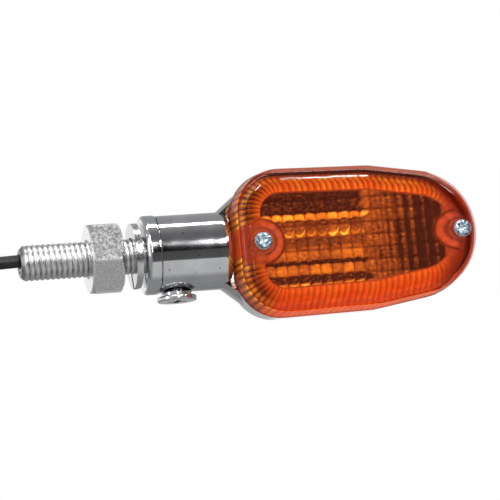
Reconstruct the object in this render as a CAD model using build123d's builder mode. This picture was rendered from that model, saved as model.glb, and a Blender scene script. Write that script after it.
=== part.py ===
"""Motorcycle turn signal indicator: chrome lamp on a hollow threaded stud.

Frame, in millimetres: the origin is on the stem's axis, at the collar face that seats on
the bracket. +X runs along the stem to the lamp's tip, the lens faces -Y, and +Z is up.
"""

import os
from math import cos, pi, radians, sin, tan

from build123d import *

# --- stud, nut and washer (M10 x 1.5) -------------------------------------------------
STUD_R = 5.0
STUD_BORE_R = 2.7
STUD_END_X = -34.3
STUD_INNER_X = 13.0
STUD_CHAMFER = 1.2
NUT_ACROSS_FLATS = 19.0
NUT_LENGTH = 9.0
NUT_LEFT_X = -15.2
NUT_BORE_R = 5.06
NUT_CHAMFER = 1.3
NUT_TURN = 10.0
RELIEF_LENGTH = 1.0
RELIEF_DEPTH = 0.5
WASHER_R = 9.2
WASHER_BORE_R = 5.3
WASHER_THICKNESS = 1.8
WASHER_LEFT_X = -2.8
WASHER_SPLIT = 1.4

# --- stem: collar and clamp screw -----------------------------------------------------
COLLAR_R = 11.15
COLLAR_LENGTH = 3.9
COLLAR_ROUNDING = 1.3
COLLAR_BORE_R = 5.02
SPIGOT_R = 8.83
SPIGOT_END_X = 16.0
GROOVE_R = 7.5
GROOVE_WIDTH = 6.4
CLAMP_X = 9.1
CLAMP_HEAD_R = 5.6
CLAMP_HEAD_HEIGHT = 1.5
CLAMP_SHOULDER_R = 4.3
CLAMP_SHOULDER_HEIGHT = 0.95
CLAMP_SHANK_R = 2.4
CLAMP_TIP_Z = -7.9
CLAMP_GAP = 0.15
CLAMP_RECESS_SIZE = 5.4
CLAMP_RECESS_DEPTH = 1.4
SEAM = 0.25

# --- housing --------------------------------------------------------------------------
TUBE_R = 10.9
TUBE_BORE_R = 8.9
TUBE_BORE_END_X = 20.5
TUBE_END_X = 24.6
TUBE_ROUNDING = 2.4
WALL = 1.8
FLANGE_Y = -5.0
BACK_Y = 12.0
BACK_ROUNDING = 8.5
DRAFT = 4.0
NECK_START_X = 22.0
NECK_END_X = 29.0
NECK_HALF_HEIGHT = 16.4
NECK_HALF_DEPTH = 9.4
NECK_CORNER_R = 8.0
PASSAGE_R = 3.5
PASSAGE_Y = 1.0
HOUSING_BOSS_R = 3.4
SCREW_HOLE_R = 1.5
SCREW_HOLE_END_Y = 7.0

# --- the lamp's outline, seen from the front ------------------------------------------
LEFT_X = 24.9
CORNER_R = 13.0
LEFT_HALF_HEIGHT = 20.8
SHOULDER_X = 63.0
SHOULDER_R = 12.0
SHOULDER_HALF_HEIGHT = 20.3
TIP_X = 94.9
TIP_R = 18.0

# --- lens, its gasket and screws ------------------------------------------------------
GASKET = 0.8
LENS_FRONT_Y = -15.0
LENS_WALL = 2.0
LENS_ROUNDING = 3.6
LENS_DRAFT = 5.0
LENS_BOSS_R = 3.4
LENS_GAP = 0.05
GASKET_INSET = 0.4
GASKET_WIDTH = 1.1
BOSS_GAP = 0.3
SCREW_XS = {"inner": 32.1, "outer": 89.8}
SCREW_HEAD_R = 2.55
SCREW_HEAD_HEIGHT = 1.7
SCREW_SEAT_R = 2.9
SCREW_SEAT_Y = -13.0
SCREW_LIFT = 0.05
SCREW_SHANK_R = 1.42
SCREW_END_Y = 6.0
RECESS_TURN = radians(20)
RECESS_ARM = 0.26
LENS_RECESS_SIZE = 3.2
LENS_RECESS_DEPTH = 1.1

# --- bulb and socket, on an axis along X ----------------------------------------------
BULB_Y = -1.0
BRACKET_X = 37.0
BRACKET_THICKNESS = 1.0
BRACKET_WIDTH = 16.0
BRACKET_TOP_Y = -9.0
FOOT_END_X = 50.0
RIVET_SPOTS = [(44.0, -5.6), (44.0, 5.6)]
RIVET_R = 1.2
RIVET_HEAD_R = 2.0
RIVET_HEAD_HEIGHT = 1.0
SHELL_R = 8.2
SHELL_BORE_R = 7.62
SHELL_END_X = 55.5
INSULATOR_R = 7.5
INSULATOR_END_X = 40.0
HUB_R = 4.8
HUB_START_X = 36.3
PLUNGER_STEM_X = 37.9
PLUNGER_STEM_R = 1.1
PLUNGER_HEAD_X = 43.2
PLUNGER_HEAD_R = 2.9
PLUNGER_HEAD_LENGTH = 1.3
TERMINAL_Z = 3.9
TERMINAL_THICKNESS = 0.4
SPRING_R = 2.1
SPRING_WIRE_R = 0.25
SPRING_TURNS = 3
SLOT_WIDTH = 2.4
SLOT_STEPS = 8
CONTACT_X = 44.6
INSERT_R = 5.6
MOUNT_END_X = 65.0
FILAMENT_X = 70.0
FILAMENT_HALF = 2.4
CAP_R = 7.45
CAP_START_X = 46.2
CAP_END_X = 60.5
CAP_WALL = 0.35
PIN_X = 51.5
PIN_R = 1.0
PIN_REACH = 8.35
BULB_TURN = 20.0
BALL_X = 69.8
BALL_R = 8.8
GLASS_WALL = 0.7

# --- reflector ------------------------------------------------------------------------
REFLECTOR_INSET = 3.2
REFLECTOR_WALL = 0.7
REFLECTOR_BACK_Y = 9.3
REFLECTOR_RIM_Y = -4.6
REFLECTOR_ROUNDING = 5.5
REFLECTOR_START_X = 36.6

# --- lead -----------------------------------------------------------------------------
LEAD_R = 1.8
LEAD_Z = 0.8
LEAD_JOIN_X = -28.0
CORE_R = 0.7
TAIL_CORE_R = 0.9
COIL_R = 19.0
COIL_TURNS = 2
COIL_PITCH = 3.8
COIL_CLEARANCE = 0.1
COIL_DROP = 5.0
COIL_TAIL_DROP = 6.0
TIE_WIDTH = 3.0
TIE_THICKNESS = 1.0
TIE_GAP = 0.2
LEAD_ROUTE = [
    (LEAD_JOIN_X, 0.0, LEAD_Z),
    (-52.0, 0.0, LEAD_Z),
    (-75.5, 0.0, -7.8),
    (-86.5, 0.0, -24.5),
    (-86.5, 0.0, -42.5),
]
TAIL_END_Z = -67.0
SLEEVE_R = 2.4
SLEEVE_LENGTH = 7.5
SLEEVE_BEYOND = 3.0
TAIL_CORE_SPACING = 1.1
TAIL_CORE_SPREAD = 3.2
SIGNAL_CORE_END_Z = -86.0
GROUND_CORE_END_Z = -82.0
BULLET_R = 2.5
BULLET_SLEEVE_LENGTH = 12.0
BULLET_PIN_R = 1.75
BULLET_PIN_LENGTH = 5.0
GROUND_TAB_THICKNESS = 0.3
GROUND_TAB_SPOT = (6.8, -6.2)


# --- shared planes, outlines and small shapes -----------------------------------------
def across(x):
    """The plane square to the stem at x: local x is +Y and local y is +Z."""
    return Plane.YZ.offset(x)


def backward(y):
    """The plane square to the lens axis at y, facing the back of the lamp."""
    return Plane(origin=(0, y, 0), x_dir=(1, 0, 0), z_dir=(0, 1, 0))


def forward(y):
    """The plane square to the lens axis at y, facing the lens: local y is +Z."""
    return Plane(origin=(0, y, 0), x_dir=(1, 0, 0), z_dir=(0, -1, 0))


def lamp_outline():
    """The lamp's outline: rounded left corners, a shoulder, and a round tip."""
    with BuildSketch(mode=Mode.PRIVATE) as outline:
        corner_z = LEFT_HALF_HEIGHT - CORNER_R
        with Locations((LEFT_X + CORNER_R, corner_z), (LEFT_X + CORNER_R, -corner_z)):
            Circle(CORNER_R)
        shoulder_z = SHOULDER_HALF_HEIGHT - SHOULDER_R
        with Locations((SHOULDER_X, shoulder_z), (SHOULDER_X, -shoulder_z)):
            Circle(SHOULDER_R)
        with Locations((TIP_X - TIP_R, 0)):
            Circle(TIP_R)
        make_hull()
    return outline.sketch


def inset_outline(inset):
    """The lamp's outline, moved inwards."""
    with BuildSketch(mode=Mode.PRIVATE) as inner:
        add(lamp_outline())
        offset(amount=-inset, kind=Kind.ARC)
    return inner.sketch


def cross_recess(size):
    """The outline of a cross recess, size across."""
    with BuildSketch(mode=Mode.PRIVATE) as cross:
        Rectangle(size, size * RECESS_ARM)
        Rectangle(size * RECESS_ARM, size)
    return cross.sketch


def corner_radii(points):
    """Arc radii as large as the runs beside each corner allow."""
    route = [Vector(*p) for p in points]
    runs = [b - a for a, b in zip(route, route[1:])]
    radii = []
    for before, after in zip(runs, runs[1:]):
        half_turn = radians(before.get_angle(after)) / 2
        radii.append(0.45 * min(before.length, after.length) / tan(half_turn))
    return radii


def wire_solid(points, radius):
    """A round wire along straight runs joined by tangent arcs."""
    radii = corner_radii(points)
    with BuildPart() as wire:
        with BuildLine() as path:
            if radii:
                FilletPolyline(*points, radius=radii)
            else:
                Line(*points)
        with BuildSketch(Plane(origin=path.line @ 0, z_dir=path.line % 0)):
            Circle(radius)
        sweep()
    return wire.part


pieces = {}
wires = {}

# --- mounting stud --------------------------------------------------------------------
with BuildPart() as mounting_stud:
    with BuildSketch(across(STUD_END_X)):
        Circle(STUD_R)
    extrude(amount=STUD_INNER_X - STUD_END_X)
    chamfer(mounting_stud.edges().group_by(Axis.X)[0], STUD_CHAMFER)
    with BuildSketch(across(STUD_END_X)):
        Circle(STUD_BORE_R)
    extrude(amount=STUD_INNER_X - STUD_END_X, mode=Mode.SUBTRACT)
    with BuildSketch(across(NUT_LEFT_X - 0.1)):
        Circle(STUD_R + 1)
        Circle(STUD_R - RELIEF_DEPTH, mode=Mode.SUBTRACT)
    extrude(amount=RELIEF_LENGTH, mode=Mode.SUBTRACT)
pieces["mounting_stud"] = mounting_stud

# --- mounting nut, one corner a little below the lens side ----------------------------
with BuildPart() as mounting_nut:
    with BuildSketch(across(NUT_LEFT_X)):
        RegularPolygon(NUT_ACROSS_FLATS / 2, 6, major_radius=False, rotation=NUT_TURN)
    extrude(amount=NUT_LENGTH)
    with BuildSketch(Plane.XZ) as chamfer_cone:
        corner_r = NUT_ACROSS_FLATS / 2 / cos(pi / 6)
        face_r = NUT_ACROSS_FLATS / 2 - 0.2
        with BuildLine():
            Polyline(
                (NUT_LEFT_X, 0),
                (NUT_LEFT_X, face_r),
                (NUT_LEFT_X + NUT_CHAMFER, corner_r + 0.2),
                (NUT_LEFT_X + NUT_LENGTH - NUT_CHAMFER, corner_r + 0.2),
                (NUT_LEFT_X + NUT_LENGTH, face_r),
                (NUT_LEFT_X + NUT_LENGTH, 0),
                close=True,
            )
        make_face()
    revolve(axis=Axis.X, mode=Mode.INTERSECT)
    with BuildSketch(across(NUT_LEFT_X)):
        Circle(NUT_BORE_R)
    extrude(amount=NUT_LENGTH, mode=Mode.SUBTRACT)
    chamfer(mounting_nut.edges().filter_by(GeomType.CIRCLE).sort_by(SortBy.RADIUS)[:2], 0.5)
pieces["mounting_nut"] = mounting_nut

# --- split lock washer ----------------------------------------------------------------
with BuildPart() as lock_washer:
    with BuildSketch(across(WASHER_LEFT_X)):
        Circle(WASHER_R)
        Circle(WASHER_BORE_R, mode=Mode.SUBTRACT)
        with Locations(Location((0, -WASHER_R, 0), -20)):
            Rectangle(WASHER_SPLIT, WASHER_R, mode=Mode.SUBTRACT)
    extrude(amount=WASHER_THICKNESS)
pieces["lock_washer"] = lock_washer

# --- stem collar: shoulder outside, spigot with a clamp groove inside the tube ---------
with BuildPart() as stem_collar:
    with BuildSketch(Plane.XZ):
        with BuildLine():
            Polyline(
                (0, COLLAR_BORE_R),
                (0, COLLAR_R),
                (COLLAR_LENGTH, COLLAR_R),
                (COLLAR_LENGTH, SPIGOT_R),
                (CLAMP_X - GROOVE_WIDTH / 2, SPIGOT_R),
                (CLAMP_X - GROOVE_WIDTH / 2 + 0.6, GROOVE_R),
                (CLAMP_X + GROOVE_WIDTH / 2 - 0.6, GROOVE_R),
                (CLAMP_X + GROOVE_WIDTH / 2, SPIGOT_R),
                (SPIGOT_END_X, SPIGOT_R),
                (SPIGOT_END_X, COLLAR_BORE_R),
                close=True,
            )
        make_face()
    revolve(axis=Axis.X)
    outer_rims = stem_collar.edges().filter_by(GeomType.CIRCLE).sort_by(SortBy.RADIUS)[-2:]
    fillet(outer_rims.sort_by(Axis.X)[0], COLLAR_ROUNDING)
    fillet(stem_collar.edges().filter_by(GeomType.CIRCLE).sort_by(SortBy.RADIUS)[-1], 0.3)
pieces["stem_collar"] = stem_collar

# --- housing: drafted bowl with an integral stem tube ---------------------------------
with BuildPart() as outer_bowl:
    with BuildSketch(backward(FLANGE_Y)):
        add(lamp_outline())
    extrude(amount=BACK_Y - FLANGE_Y, taper=DRAFT)
    fillet(outer_bowl.faces().sort_by(Axis.Y)[-1].edges(), BACK_ROUNDING)

with BuildPart() as chamber:
    with BuildSketch(backward(FLANGE_Y)):
        add(inset_outline(WALL))
    extrude(amount=BACK_Y - WALL - FLANGE_Y, taper=DRAFT)
    fillet(chamber.faces().sort_by(Axis.Y)[-1].edges(), BACK_ROUNDING - WALL)

with BuildPart() as screw_bosses:
    with BuildSketch(forward(BACK_Y)):
        with Locations(*[(x, 0) for x in SCREW_XS.values()]):
            Circle(HOUSING_BOSS_R)
    extrude(amount=BACK_Y - FLANGE_Y)
    add(outer_bowl.part, mode=Mode.INTERSECT)

with BuildPart() as neck:
    with BuildSketch(across(NECK_START_X)):
        Circle(TUBE_R)
    with BuildSketch(across(NECK_END_X)):
        RectangleRounded(2 * NECK_HALF_DEPTH, 2 * NECK_HALF_HEIGHT, NECK_CORNER_R)
    loft()
    with BuildSketch(forward(FLANGE_Y)):
        with Locations((NECK_END_X, 0)):
            Rectangle(4 * TUBE_R, 4 * TUBE_R)
    extrude(amount=2 * TUBE_R, mode=Mode.SUBTRACT)

with BuildPart() as housing:
    with BuildSketch(across(COLLAR_LENGTH + SEAM)):
        Circle(TUBE_R)
    extrude(amount=TUBE_END_X - COLLAR_LENGTH - SEAM)
    fillet(housing.edges().group_by(Axis.X)[-1], TUBE_ROUNDING)
    add(outer_bowl.part)
    add(neck.part)
    add(chamber.part, mode=Mode.SUBTRACT)
    with BuildSketch(across(COLLAR_LENGTH + SEAM)):
        Circle(TUBE_BORE_R)
    extrude(amount=TUBE_BORE_END_X - COLLAR_LENGTH - SEAM, mode=Mode.SUBTRACT)
    # wire passage from the tube into the chamber
    with BuildSketch(across(TUBE_BORE_END_X - 1)):
        with Locations((PASSAGE_Y, 0)):
            Circle(PASSAGE_R)
    extrude(amount=9, mode=Mode.SUBTRACT)
    # bosses that take the lens screws
    add(screw_bosses.part)
    with BuildSketch(forward(FLANGE_Y)):
        with Locations(*[(x, 0) for x in SCREW_XS.values()]):
            Circle(SCREW_HOLE_R)
    extrude(amount=FLANGE_Y - SCREW_HOLE_END_Y, mode=Mode.SUBTRACT)
    # tapped hole for the clamp screw, under the tube
    with BuildSketch(Plane.XY.offset(-TUBE_R - 1)):
        with Locations((CLAMP_X, 0)):
            Circle(CLAMP_SHANK_R + 0.06)
    extrude(amount=TUBE_R - TUBE_BORE_R + 3, mode=Mode.SUBTRACT)
pieces["housing"] = housing

# --- gasket between the housing's flange and the lens ----------------------------------
with BuildPart() as lens_gasket:
    with BuildSketch(forward(FLANGE_Y)):
        add(inset_outline(GASKET_INSET))
        add(inset_outline(GASKET_INSET + GASKET_WIDTH), mode=Mode.SUBTRACT)
    extrude(amount=GASKET - LENS_GAP)
pieces["lens_gasket"] = lens_gasket

# --- lens: a drafted cap with two screw bosses -----------------------------------------
LENS_BASE_Y = FLANGE_Y - GASKET
with BuildPart() as lens:
    with BuildSketch(forward(LENS_BASE_Y)):
        add(lamp_outline())
    extrude(amount=LENS_BASE_Y - LENS_FRONT_Y, taper=LENS_DRAFT)
    fillet(lens.faces().sort_by(Axis.Y)[0].edges(), LENS_ROUNDING)
    with BuildSketch(forward(LENS_BASE_Y)):
        add(inset_outline(LENS_WALL))
    extrude(amount=LENS_BASE_Y - LENS_FRONT_Y - LENS_WALL, taper=LENS_DRAFT, mode=Mode.SUBTRACT)
    with BuildSketch(forward(FLANGE_Y - BOSS_GAP)):
        with Locations(*[(x, 0) for x in SCREW_XS.values()]):
            Circle(LENS_BOSS_R)
    extrude(amount=FLANGE_Y - BOSS_GAP - LENS_FRONT_Y - 0.5)
    with BuildSketch(forward(LENS_FRONT_Y)):
        with Locations(*[(x, 0) for x in SCREW_XS.values()]):
            Circle(SCREW_SEAT_R)
    extrude(amount=LENS_FRONT_Y - SCREW_SEAT_Y, mode=Mode.SUBTRACT)
    with BuildSketch(forward(LENS_FRONT_Y)):
        with Locations(*[(x, 0) for x in SCREW_XS.values()]):
            Circle(SCREW_HOLE_R)
    extrude(amount=-20, mode=Mode.SUBTRACT)
pieces["lens"] = lens

# --- lens screws, cross recessed --------------------------------------------------------
for place, screw_x in SCREW_XS.items():
    with BuildPart() as lens_screw:
        with BuildSketch(forward(SCREW_END_Y)):
            with Locations((screw_x, 0)):
                Circle(SCREW_SHANK_R)
        extrude(amount=SCREW_END_Y - SCREW_SEAT_Y + SCREW_LIFT)
        with BuildSketch(forward(SCREW_SEAT_Y - SCREW_LIFT)):
            with Locations((screw_x, 0)):
                Circle(SCREW_HEAD_R)
        extrude(amount=SCREW_HEAD_HEIGHT)
        fillet(lens_screw.edges().group_by(Axis.Y)[0], 0.7)
        head_top = Plane(
            origin=(screw_x, SCREW_SEAT_Y - SCREW_LIFT - SCREW_HEAD_HEIGHT, 0),
            x_dir=(cos(RECESS_TURN), 0, sin(RECESS_TURN)),
            z_dir=(0, -1, 0),
        )
        with BuildSketch(head_top):
            add(cross_recess(LENS_RECESS_SIZE))
        extrude(amount=-LENS_RECESS_DEPTH, mode=Mode.SUBTRACT)
    pieces[f"lens_screw_{place}"] = lens_screw

# --- clamp screw, up through the tube into the collar's groove --------------------------
clamp_seat_z = -TUBE_R - CLAMP_GAP
clamp_head_z = clamp_seat_z - CLAMP_SHOULDER_HEIGHT
clamp_face_z = clamp_head_z - CLAMP_HEAD_HEIGHT
with BuildPart() as clamp_screw:
    with BuildSketch(Plane.XY.offset(clamp_face_z)):
        with Locations((CLAMP_X, 0)):
            Circle(CLAMP_HEAD_R)
    extrude(amount=CLAMP_HEAD_HEIGHT)
    fillet(clamp_screw.edges().filter_by(GeomType.CIRCLE), 0.5)
    with BuildSketch(Plane.XY.offset(clamp_head_z)):
        with Locations((CLAMP_X, 0)):
            Circle(CLAMP_SHOULDER_R)
    extrude(amount=CLAMP_SHOULDER_HEIGHT)
    with BuildSketch(Plane.XY.offset(clamp_seat_z)):
        with Locations((CLAMP_X, 0)):
            Circle(CLAMP_SHANK_R)
    extrude(amount=CLAMP_TIP_Z - clamp_seat_z)
    with BuildSketch(Plane(origin=(CLAMP_X, 0, clamp_face_z), z_dir=(0, 0, -1))):
        add(cross_recess(CLAMP_RECESS_SIZE))
    extrude(amount=-CLAMP_RECESS_DEPTH, mode=Mode.SUBTRACT)
pieces["clamp_screw"] = clamp_screw

# --- reflector: a tray behind the bulb, open at the stem end ----------------------------
with BuildPart() as reflector_hollow:
    with BuildSketch(backward(REFLECTOR_RIM_Y)):
        add(inset_outline(REFLECTOR_INSET + REFLECTOR_WALL))
    tray_depth = REFLECTOR_BACK_Y - REFLECTOR_WALL - REFLECTOR_RIM_Y
    extrude(amount=tray_depth, taper=DRAFT)
    back_edges = reflector_hollow.faces().sort_by(Axis.Y)[-1].edges()
    fillet(back_edges, REFLECTOR_ROUNDING - REFLECTOR_WALL)

with BuildPart() as reflector:
    with BuildSketch(backward(REFLECTOR_RIM_Y)):
        add(inset_outline(REFLECTOR_INSET))
    extrude(amount=REFLECTOR_BACK_Y - REFLECTOR_RIM_Y, taper=DRAFT)
    fillet(reflector.faces().sort_by(Axis.Y)[-1].edges(), REFLECTOR_ROUNDING)
    add(reflector_hollow.part, mode=Mode.SUBTRACT)
    with BuildSketch(forward(BACK_Y)):
        with Locations((REFLECTOR_START_X - 20, 0)):
            Rectangle(40, 60)
        with Locations((SCREW_XS["outer"], 0)):
            Circle(HOUSING_BOSS_R + 0.4)
        with Locations(((REFLECTOR_START_X + FOOT_END_X + 0.5) / 2, 0)):
            Rectangle(FOOT_END_X + 0.5 - REFLECTOR_START_X, BRACKET_WIDTH + 1.0)
    extrude(amount=BACK_Y - REFLECTOR_RIM_Y + 2, mode=Mode.SUBTRACT)
pieces["reflector"] = reflector

# --- socket bracket: upright plate and a foot riveted to the housing's back --------------
FOOT_TOP_Y = BACK_Y - WALL - BRACKET_THICKNESS
with BuildPart() as socket_bracket:
    with BuildSketch(forward(BACK_Y - WALL)):
        with Locations(((BRACKET_X + FOOT_END_X) / 2, 0)):
            Rectangle(FOOT_END_X - BRACKET_X, BRACKET_WIDTH)
    extrude(amount=BRACKET_THICKNESS)
    with BuildSketch(across(BRACKET_X)):
        with Locations(((BRACKET_TOP_Y + BACK_Y - WALL) / 2, 0)):
            Rectangle(BACK_Y - WALL - BRACKET_TOP_Y, BRACKET_WIDTH)
        with Locations((BULB_Y, 0)):
            Circle(HUB_R + 0.1, mode=Mode.SUBTRACT)
    extrude(amount=BRACKET_THICKNESS)
    with BuildSketch(forward(BACK_Y - WALL)):
        with Locations(*RIVET_SPOTS):
            Circle(RIVET_R)
    extrude(amount=BRACKET_THICKNESS, mode=Mode.SUBTRACT)
pieces["socket_bracket"] = socket_bracket

with BuildPart() as bracket_rivets:
    with BuildSketch(forward(BACK_Y - WALL)):
        with Locations(*RIVET_SPOTS):
            Circle(RIVET_R)
    extrude(amount=BRACKET_THICKNESS)
    with BuildSketch(forward(FOOT_TOP_Y)):
        with Locations(*RIVET_SPOTS):
            Circle(RIVET_HEAD_R)
    extrude(amount=RIVET_HEAD_HEIGHT)
    fillet(bracket_rivets.edges().group_by(Axis.Y)[0], 0.5)
pieces["bracket_rivets"] = bracket_rivets


# --- socket: bayonet shell, insulator, sprung plunger and terminal -----------------------
def bulb_plane(x):
    """The plane square to the bulb's axis at x."""
    return Plane(origin=(x, BULB_Y, 0), x_dir=(0, 1, 0), z_dir=(1, 0, 0))


with BuildPart() as socket_shell:
    with BuildSketch(bulb_plane(BRACKET_X + BRACKET_THICKNESS)):
        Circle(SHELL_R)
        Circle(SHELL_BORE_R, mode=Mode.SUBTRACT)
    extrude(amount=SHELL_END_X - BRACKET_X - BRACKET_THICKNESS)
    # two J slots: in along the bulb's axis, then round to the locked pocket
    for side in (0, 180):
        entry = radians(side + 90 + BULB_TURN)
        with BuildSketch(bulb_plane(PIN_X)):
            with Locations(Location((SHELL_R * cos(entry), SHELL_R * sin(entry), 0), side + 90 + BULB_TURN)):
                Rectangle(4, SLOT_WIDTH)
        extrude(amount=SHELL_END_X - PIN_X + 1, mode=Mode.SUBTRACT)
        for step in range(SLOT_STEPS + 1):
            turn = side + 90 + BULB_TURN * step / SLOT_STEPS
            along = Vector(0, cos(radians(turn)), sin(radians(turn)))
            with BuildSketch(Plane(origin=(PIN_X, BULB_Y, 0) + along * 6, z_dir=along)):
                Circle(SLOT_WIDTH / 2)
            extrude(amount=4, mode=Mode.SUBTRACT)
pieces["socket_shell"] = socket_shell

with BuildPart() as socket_insulator:
    with BuildSketch(bulb_plane(BRACKET_X + BRACKET_THICKNESS)):
        Circle(INSULATOR_R)
    extrude(amount=INSULATOR_END_X - BRACKET_X - BRACKET_THICKNESS)
    with BuildSketch(bulb_plane(HUB_START_X)):
        Circle(HUB_R)
    extrude(amount=BRACKET_X + BRACKET_THICKNESS - HUB_START_X)
    with BuildSketch(bulb_plane(HUB_START_X)):
        Circle(PLUNGER_STEM_R + 0.3)
        with Locations((0, TERMINAL_Z)):
            Rectangle(2.2, 0.9)
    extrude(amount=INSULATOR_END_X - HUB_START_X, mode=Mode.SUBTRACT)
pieces["socket_insulator"] = socket_insulator

with BuildPart() as contact_plunger:
    with BuildSketch(bulb_plane(PLUNGER_STEM_X)):
        Circle(PLUNGER_STEM_R)
    extrude(amount=PLUNGER_HEAD_X - PLUNGER_STEM_X)
    with BuildSketch(bulb_plane(PLUNGER_HEAD_X)):
        Circle(PLUNGER_HEAD_R)
    extrude(amount=PLUNGER_HEAD_LENGTH)
    fillet(contact_plunger.edges().group_by(Axis.X)[-1], 0.4)
pieces["contact_plunger"] = contact_plunger

with BuildPart() as signal_terminal:
    with BuildSketch(bulb_plane(INSULATOR_END_X)):
        Circle(3.4)
        with Locations((0, TERMINAL_Z - 1)):
            Rectangle(2.0, 2.6)
        Circle(PLUNGER_STEM_R + 0.4, mode=Mode.SUBTRACT)
    extrude(amount=TERMINAL_THICKNESS)
    with BuildSketch(bulb_plane(HUB_START_X - 0.6)):
        with Locations((0, TERMINAL_Z)):
            Rectangle(2.0, 0.6)
    extrude(amount=INSULATOR_END_X - HUB_START_X + 0.6)
pieces["signal_terminal"] = signal_terminal

with BuildPart() as contact_spring:
    spring_start = INSULATOR_END_X + TERMINAL_THICKNESS + SPRING_WIRE_R
    spring_length = PLUNGER_HEAD_X - spring_start - SPRING_WIRE_R
    with BuildLine() as spring_line:
        Helix(
            pitch=spring_length / SPRING_TURNS,
            height=spring_length,
            radius=SPRING_R,
            center=(spring_start, BULB_Y, 0),
            direction=(1, 0, 0),
        )
    with BuildSketch(Plane(origin=spring_line.line @ 0, z_dir=spring_line.line % 0)):
        Circle(SPRING_WIRE_R)
    sweep(is_frenet=True)
pieces["contact_spring"] = contact_spring

# --- bulb: cap with two pins, contact, glass, mount and filament -------------------------
with BuildPart() as bulb_cap:
    with BuildSketch(bulb_plane(CAP_START_X)):
        Circle(CAP_R)
    extrude(amount=CAP_END_X - CAP_START_X)
    fillet(bulb_cap.edges().group_by(Axis.X)[0], 0.8)
    with BuildSketch(bulb_plane(CAP_START_X + 1.2)):
        Circle(CAP_R - CAP_WALL)
    extrude(amount=CAP_END_X - CAP_START_X, mode=Mode.SUBTRACT)
    with BuildSketch(bulb_plane(CAP_START_X)):
        Circle(INSERT_R)
    extrude(amount=2, mode=Mode.SUBTRACT)
    for side in (1, -1):
        outward = Vector(0, 0, side)
        with BuildSketch(Plane(origin=(PIN_X, BULB_Y, side * (CAP_R - 0.3)), z_dir=outward)):
            Circle(PIN_R)
        extrude(amount=PIN_REACH - CAP_R + 0.3)
pieces["bulb_cap"] = bulb_cap

with BuildPart() as bulb_insert:
    with BuildSketch(bulb_plane(CAP_START_X - 0.5)):
        Circle(INSERT_R)
    extrude(amount=1.7)
pieces["bulb_insert"] = bulb_insert

with BuildPart() as bulb_contact:
    with BuildSketch(bulb_plane(CONTACT_X)):
        Circle(2.2)
    extrude(amount=CAP_START_X - 0.5 - CONTACT_X)
    fillet(bulb_contact.edges().group_by(Axis.X)[0], 0.6)
pieces["bulb_contact"] = bulb_contact

with BuildPart() as bulb_glass:
    neck_r = CAP_R - CAP_WALL - 0.1
    neck_x = CAP_END_X - 2.5
    ball_joint_x = BALL_X - (BALL_R**2 - neck_r**2) ** 0.5
    with BuildSketch(Plane.XZ.offset(-BULB_Y)):
        with BuildLine():
            Line((neck_x, 0), (neck_x, neck_r))
            Line((neck_x, neck_r), (ball_joint_x, neck_r))
            ThreePointArc(
                (ball_joint_x, neck_r), (BALL_X, BALL_R), (BALL_X + BALL_R, 0)
            )
            Line((BALL_X + BALL_R, 0), (neck_x, 0))
        make_face()
    revolve(axis=Axis((0, BULB_Y, 0), (1, 0, 0)))
    offset(amount=-GLASS_WALL, openings=bulb_glass.faces().sort_by(Axis.X)[0])
pieces["bulb_glass"] = bulb_glass

with BuildPart() as bulb_mount:
    with BuildSketch(bulb_plane(neck_x)):
        Circle(neck_r - GLASS_WALL - 0.1)
    extrude(amount=1.0)
    with BuildSketch(bulb_plane(neck_x)):
        Rectangle(2.2, 5.0)
    extrude(amount=MOUNT_END_X - neck_x)
pieces["bulb_mount"] = bulb_mount

with BuildPart() as filament_posts:
    for side in (1, -1):
        with BuildSketch(bulb_plane(MOUNT_END_X)):
            with Locations((0, side * FILAMENT_HALF)):
                Circle(0.28)
        extrude(amount=FILAMENT_X - MOUNT_END_X)
pieces["filament_posts"] = filament_posts

with BuildPart() as filament:
    with BuildSketch(Plane.XY.offset(-FILAMENT_HALF - 0.4)):
        with Locations((FILAMENT_X + 0.35, BULB_Y)):
            Circle(0.35)
    extrude(amount=2 * FILAMENT_HALF + 0.8)
pieces["filament"] = filament

# --- wires inside the head ---------------------------------------------------------------
SIGNAL_WIRE_ROUTE = [
    (SPIGOT_END_X + 0.9, 0.0, LEAD_Z + CORE_R + 0.15),
    (21.0, 0.4, 1.3),
    (26.8, 1.2, 1.7),
    (30.0, 1.6, 6.0),
    (34.2, 0.6, 6.4),
    (HUB_START_X - 1.1, BULB_Y, TERMINAL_Z + 0.4),
]
GROUND_WIRE_ROUTE = [
    (SPIGOT_END_X + 0.9, 0.0, LEAD_Z - CORE_R - 0.15),
    (21.0, 0.4, -1.3),
    (26.8, 1.2, -1.7),
    (30.0, 1.8, -6.0),
    (34.0, 4.5, -6.6),
    (BRACKET_X - 0.8, 6.5, -6.0),
]

with BuildPart() as ground_terminal:
    with BuildSketch(across(BRACKET_X - GROUND_TAB_THICKNESS)):
        with Locations(GROUND_TAB_SPOT):
            Rectangle(3.0, 3.4)
    extrude(amount=GROUND_TAB_THICKNESS)
pieces["ground_terminal"] = ground_terminal

# --- lead through the stem, and its put-away length -----------------------------------------
lead_x = LEAD_ROUTE[-1][0]
coil_x = lead_x + COIL_R
coil_z = LEAD_ROUTE[-1][2] - COIL_DROP
tail_y = COIL_TURNS * COIL_PITCH
coil_gap = LEAD_R + COIL_CLEARANCE
coil_depth = tail_y + 2 * coil_gap

with BuildPart() as cable_coil:
    with BuildSketch(forward(tail_y + coil_gap)):
        with Locations((coil_x, coil_z)):
            Circle(COIL_R + coil_gap)
            Circle(COIL_R - coil_gap, mode=Mode.SUBTRACT)
    extrude(amount=coil_depth)
    fillet(cable_coil.edges().filter_by(GeomType.CIRCLE), 1.2)
pieces["cable_coil"] = cable_coil

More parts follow.
